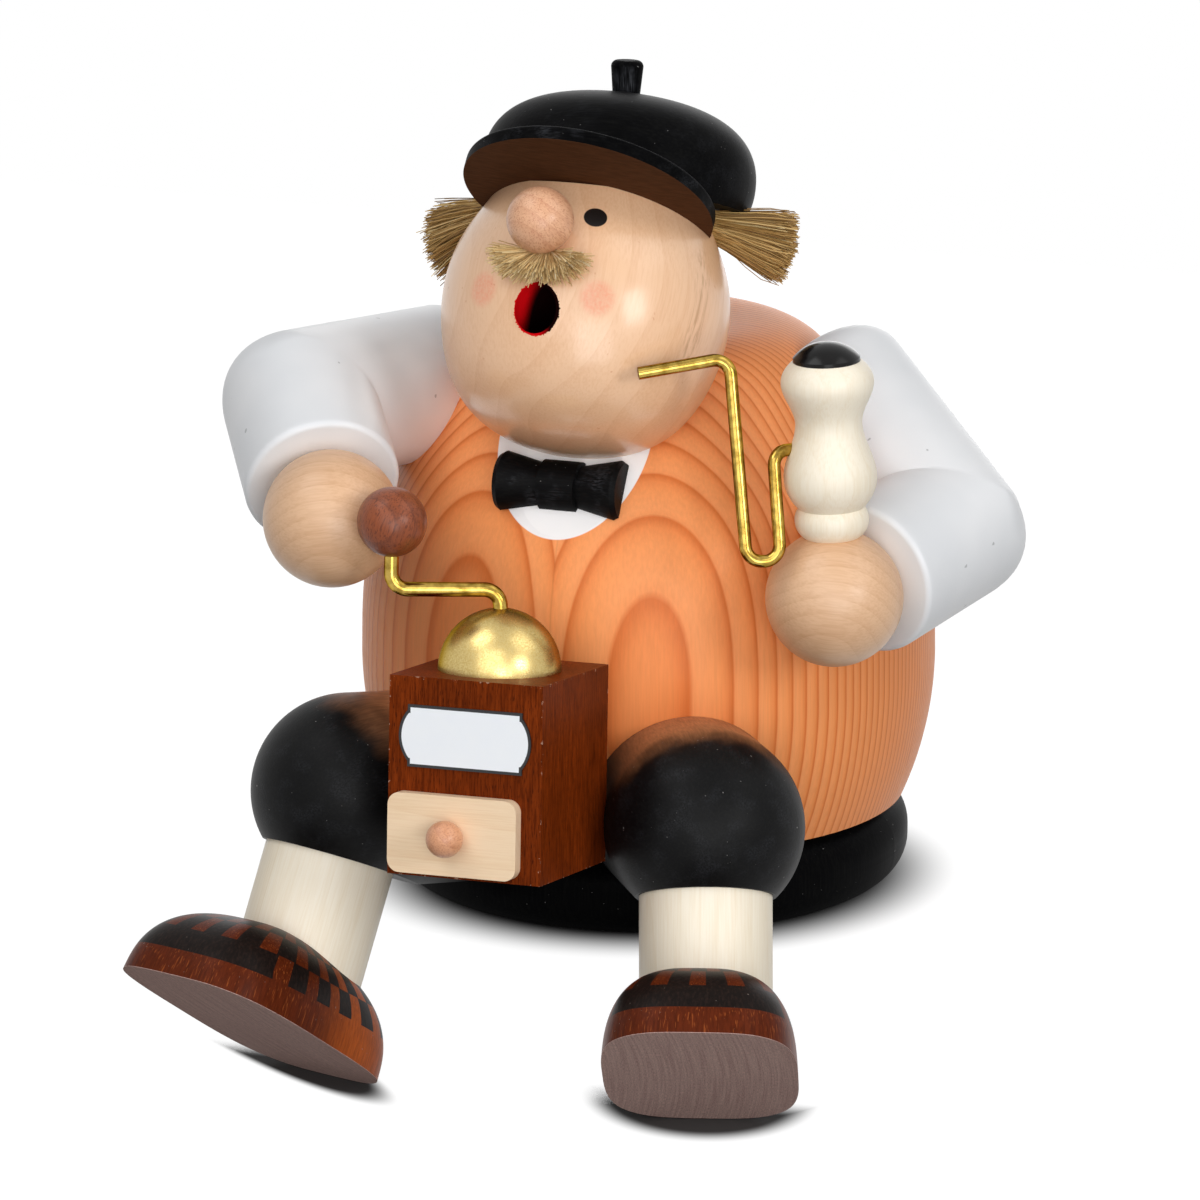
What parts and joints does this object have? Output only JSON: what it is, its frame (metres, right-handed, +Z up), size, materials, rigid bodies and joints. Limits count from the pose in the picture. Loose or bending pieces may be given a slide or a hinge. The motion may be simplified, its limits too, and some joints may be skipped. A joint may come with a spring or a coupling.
{
  "type": "incense smoker",
  "caption": "Turned wooden incense smoker: a seated man with pipe, coffee mill and flat cap, who lifts off the seat disc that carries a metal dish for an incense cone.",
  "frame": {"origin": "centre of the seat disc's flat underside", "axes": "+Z up through the body's turning axis, the figure faces -Y, its left hand is on +X"},
  "size_m": [0.1256, 0.1486, 0.1592],
  "materials": {
    "black_stain": "satin black stained turned wood",
    "orange_wood": "orange stained softwood with growth rings, satin lacquer, white bib flat",
    "skin_wood": "natural turned hardwood, satin lacquer",
    "nose_wood": "natural pinkish beech, satin",
    "pale_wood": "pale natural limewood, satin",
    "white_wood": "white painted turned wood, satin",
    "mill_wood": "dark red brown stained wood with lightly worn edges",
    "drawer_wood": "natural birch, satin",
    "knob_wood": "red brown stained wood ball",
    "slipper_wood": "red brown stained wood with black checks, raw sole",
    "dowel_wood": "raw beech dowel",
    "gold_paint": "gold painted wood, satin",
    "brass_wire": "polished bent wire",
    "dish_metal": "pressed sheet",
    "pin_steel": "plain steel pins",
    "fibre": "straw coloured plant fibre",
    "label_card": "plain white label with a dark border, no lettering"
  },
  "bodies": {
    "base": {"seat_disc": "black_stain", "incense_dish": "dish_metal", "dish_pins": "pin_steel"},
    "figure": {"body": "orange_wood", "neck_tube": "dowel_wood", "bow_tie": "black_stain", "head": "skin_wood", "nose": "nose_wood", "moustache": "fibre", "hair_left": "fibre", "hair_right": "fibre", "cap_peak": "black_stain", "cap_crown": "black_stain", "cap_stem": "black_stain", "shoulder_dowels": "dowel_wood", "elbow_dowels": "dowel_wood", "wrist_dowels": "dowel_wood", "hip_dowels": "dowel_wood", "pipe_bowl": "pale_wood", "pipe_lid": "black_stain", "pipe_stem": "brass_wire", "mill_box": "mill_wood", "mill_dome": "gold_paint", "mill_crank": "brass_wire", "crank_knob": "knob_wood", "mill_label": "label_card", "drawer_front": "drawer_wood", "drawer_knob": "nose_wood", "upper_arm_left": "white_wood", "forearm_left": "white_wood", "hand_left": "skin_wood", "thigh_left": "black_stain", "lower_leg_left": "pale_wood", "slipper_left": "slipper_wood", "upper_arm_right": "white_wood", "forearm_right": "white_wood", "hand_right": "skin_wood", "thigh_right": "black_stain", "lower_leg_right": "pale_wood", "slipper_right": "slipper_wood"}
  },
  "joints": [
    {"name": "figure_lift", "type": "slide", "parent": "base", "child": "figure", "axis": [0, 0, 1], "range_m": [0, 0.06]}
  ]
}
